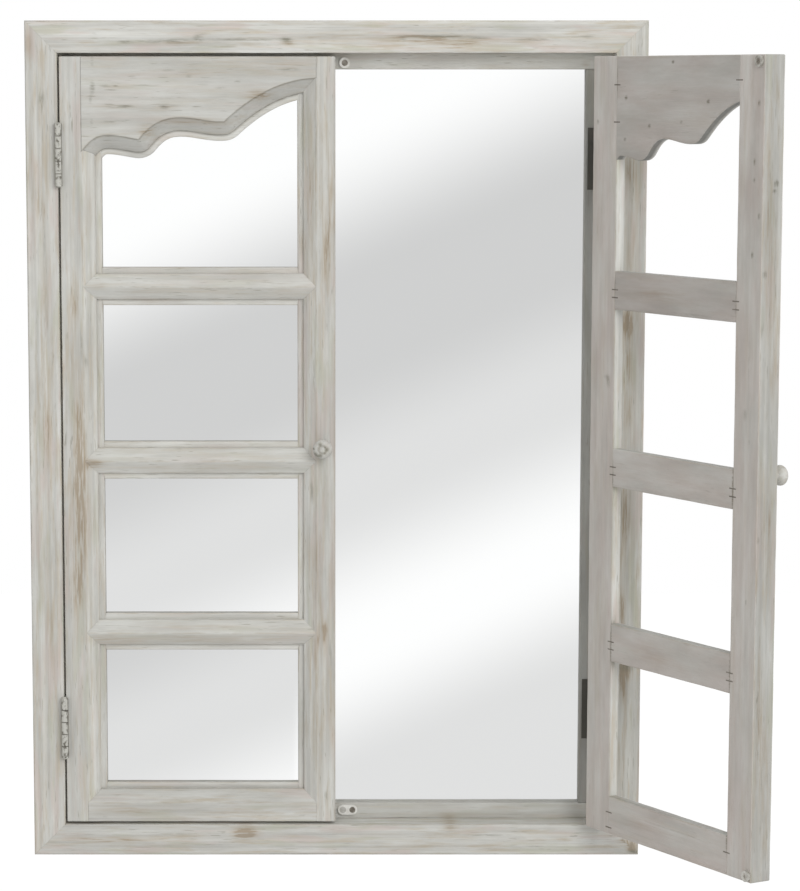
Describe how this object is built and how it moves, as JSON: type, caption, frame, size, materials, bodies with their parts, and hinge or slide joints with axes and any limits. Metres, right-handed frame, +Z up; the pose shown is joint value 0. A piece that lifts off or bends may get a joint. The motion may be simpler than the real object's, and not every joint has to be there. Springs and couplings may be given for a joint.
{
  "type": "shutter mirror",
  "caption": "Wall mirror in a mitred wooden frame, covered by a pair of hinged open-panel doors with scalloped top rails and turned knobs.",
  "frame": {"origin": "on the wall plane, midway between the round parts of the two keyhole hangers", "axes": "+X to the right for someone facing the mirror, +Y back into the wall, +Z up"},
  "size_m": [0.71, 0.294, 0.82],
  "materials": {
    "washed_wood": "whitewashed solid wood, matt, the grain and a brown glaze showing at worn edges",
    "silvered_glass": "flat silvered float glass",
    "hardboard": "bare brown hardboard",
    "zinc_steel": "zinc-plated steel",
    "hinge_steel": "dull steel, brushed over with whitewash on the barrels",
    "catch_metal": "pale plated discs and plates, satin",
    "magnet_metal": "nickel-plated magnet"
  },
  "bodies": {
    "frame": {"frame_top": "washed_wood", "frame_bottom": "washed_wood", "frame_left": "washed_wood", "frame_right": "washed_wood", "frame_staples": "zinc_steel", "stop_top": "washed_wood", "stop_bottom": "washed_wood", "stop_left": "washed_wood", "stop_right": "washed_wood", "mirror_glass": "silvered_glass", "backing_board": "hardboard", "board_tabs": "zinc_steel", "hanger_left": "zinc_steel", "hanger_right": "zinc_steel", "hanger_screws": "zinc_steel", "top_catches": "catch_metal", "bottom_catches": "catch_metal", "catch_magnets": "magnet_metal", "catch_screws": "zinc_steel", "left_frame_leaves": "hinge_steel", "right_frame_leaves": "hinge_steel", "frame_leaf_screws": "zinc_steel", "left_hinge_pins": "hinge_steel", "right_hinge_pins": "hinge_steel"},
    "left_door": {"left_hinge_stile": "washed_wood", "left_free_stile": "washed_wood", "left_top_rail": "washed_wood", "left_upper_bar": "washed_wood", "left_middle_bar": "washed_wood", "left_lower_bar": "washed_wood", "left_bottom_rail": "washed_wood", "left_staples": "zinc_steel", "left_knob": "washed_wood", "left_strikes": "catch_metal", "left_strike_screws": "zinc_steel", "left_door_leaves": "hinge_steel", "left_leaf_screws": "zinc_steel"},
    "right_door": {"right_hinge_stile": "washed_wood", "right_free_stile": "washed_wood", "right_top_rail": "washed_wood", "right_upper_bar": "washed_wood", "right_middle_bar": "washed_wood", "right_lower_bar": "washed_wood", "right_bottom_rail": "washed_wood", "right_staples": "zinc_steel", "right_knob": "washed_wood", "right_strikes": "catch_metal", "right_strike_screws": "zinc_steel", "right_door_leaves": "hinge_steel", "right_leaf_screws": "zinc_steel"}
  },
  "joints": [
    {"name": "left_door_hinge", "type": "hinge", "parent": "frame", "child": "left_door", "pos_m": [-0.26805, -0.0486, 0], "axis": [0, 0, -1], "range_deg": [0, 175]},
    {"name": "right_door_hinge", "type": "hinge", "parent": "frame", "child": "right_door", "pos_m": [0.26805, -0.0486, 0], "axis": [0, 0, 1], "range_deg": [-120, 55]}
  ]
}
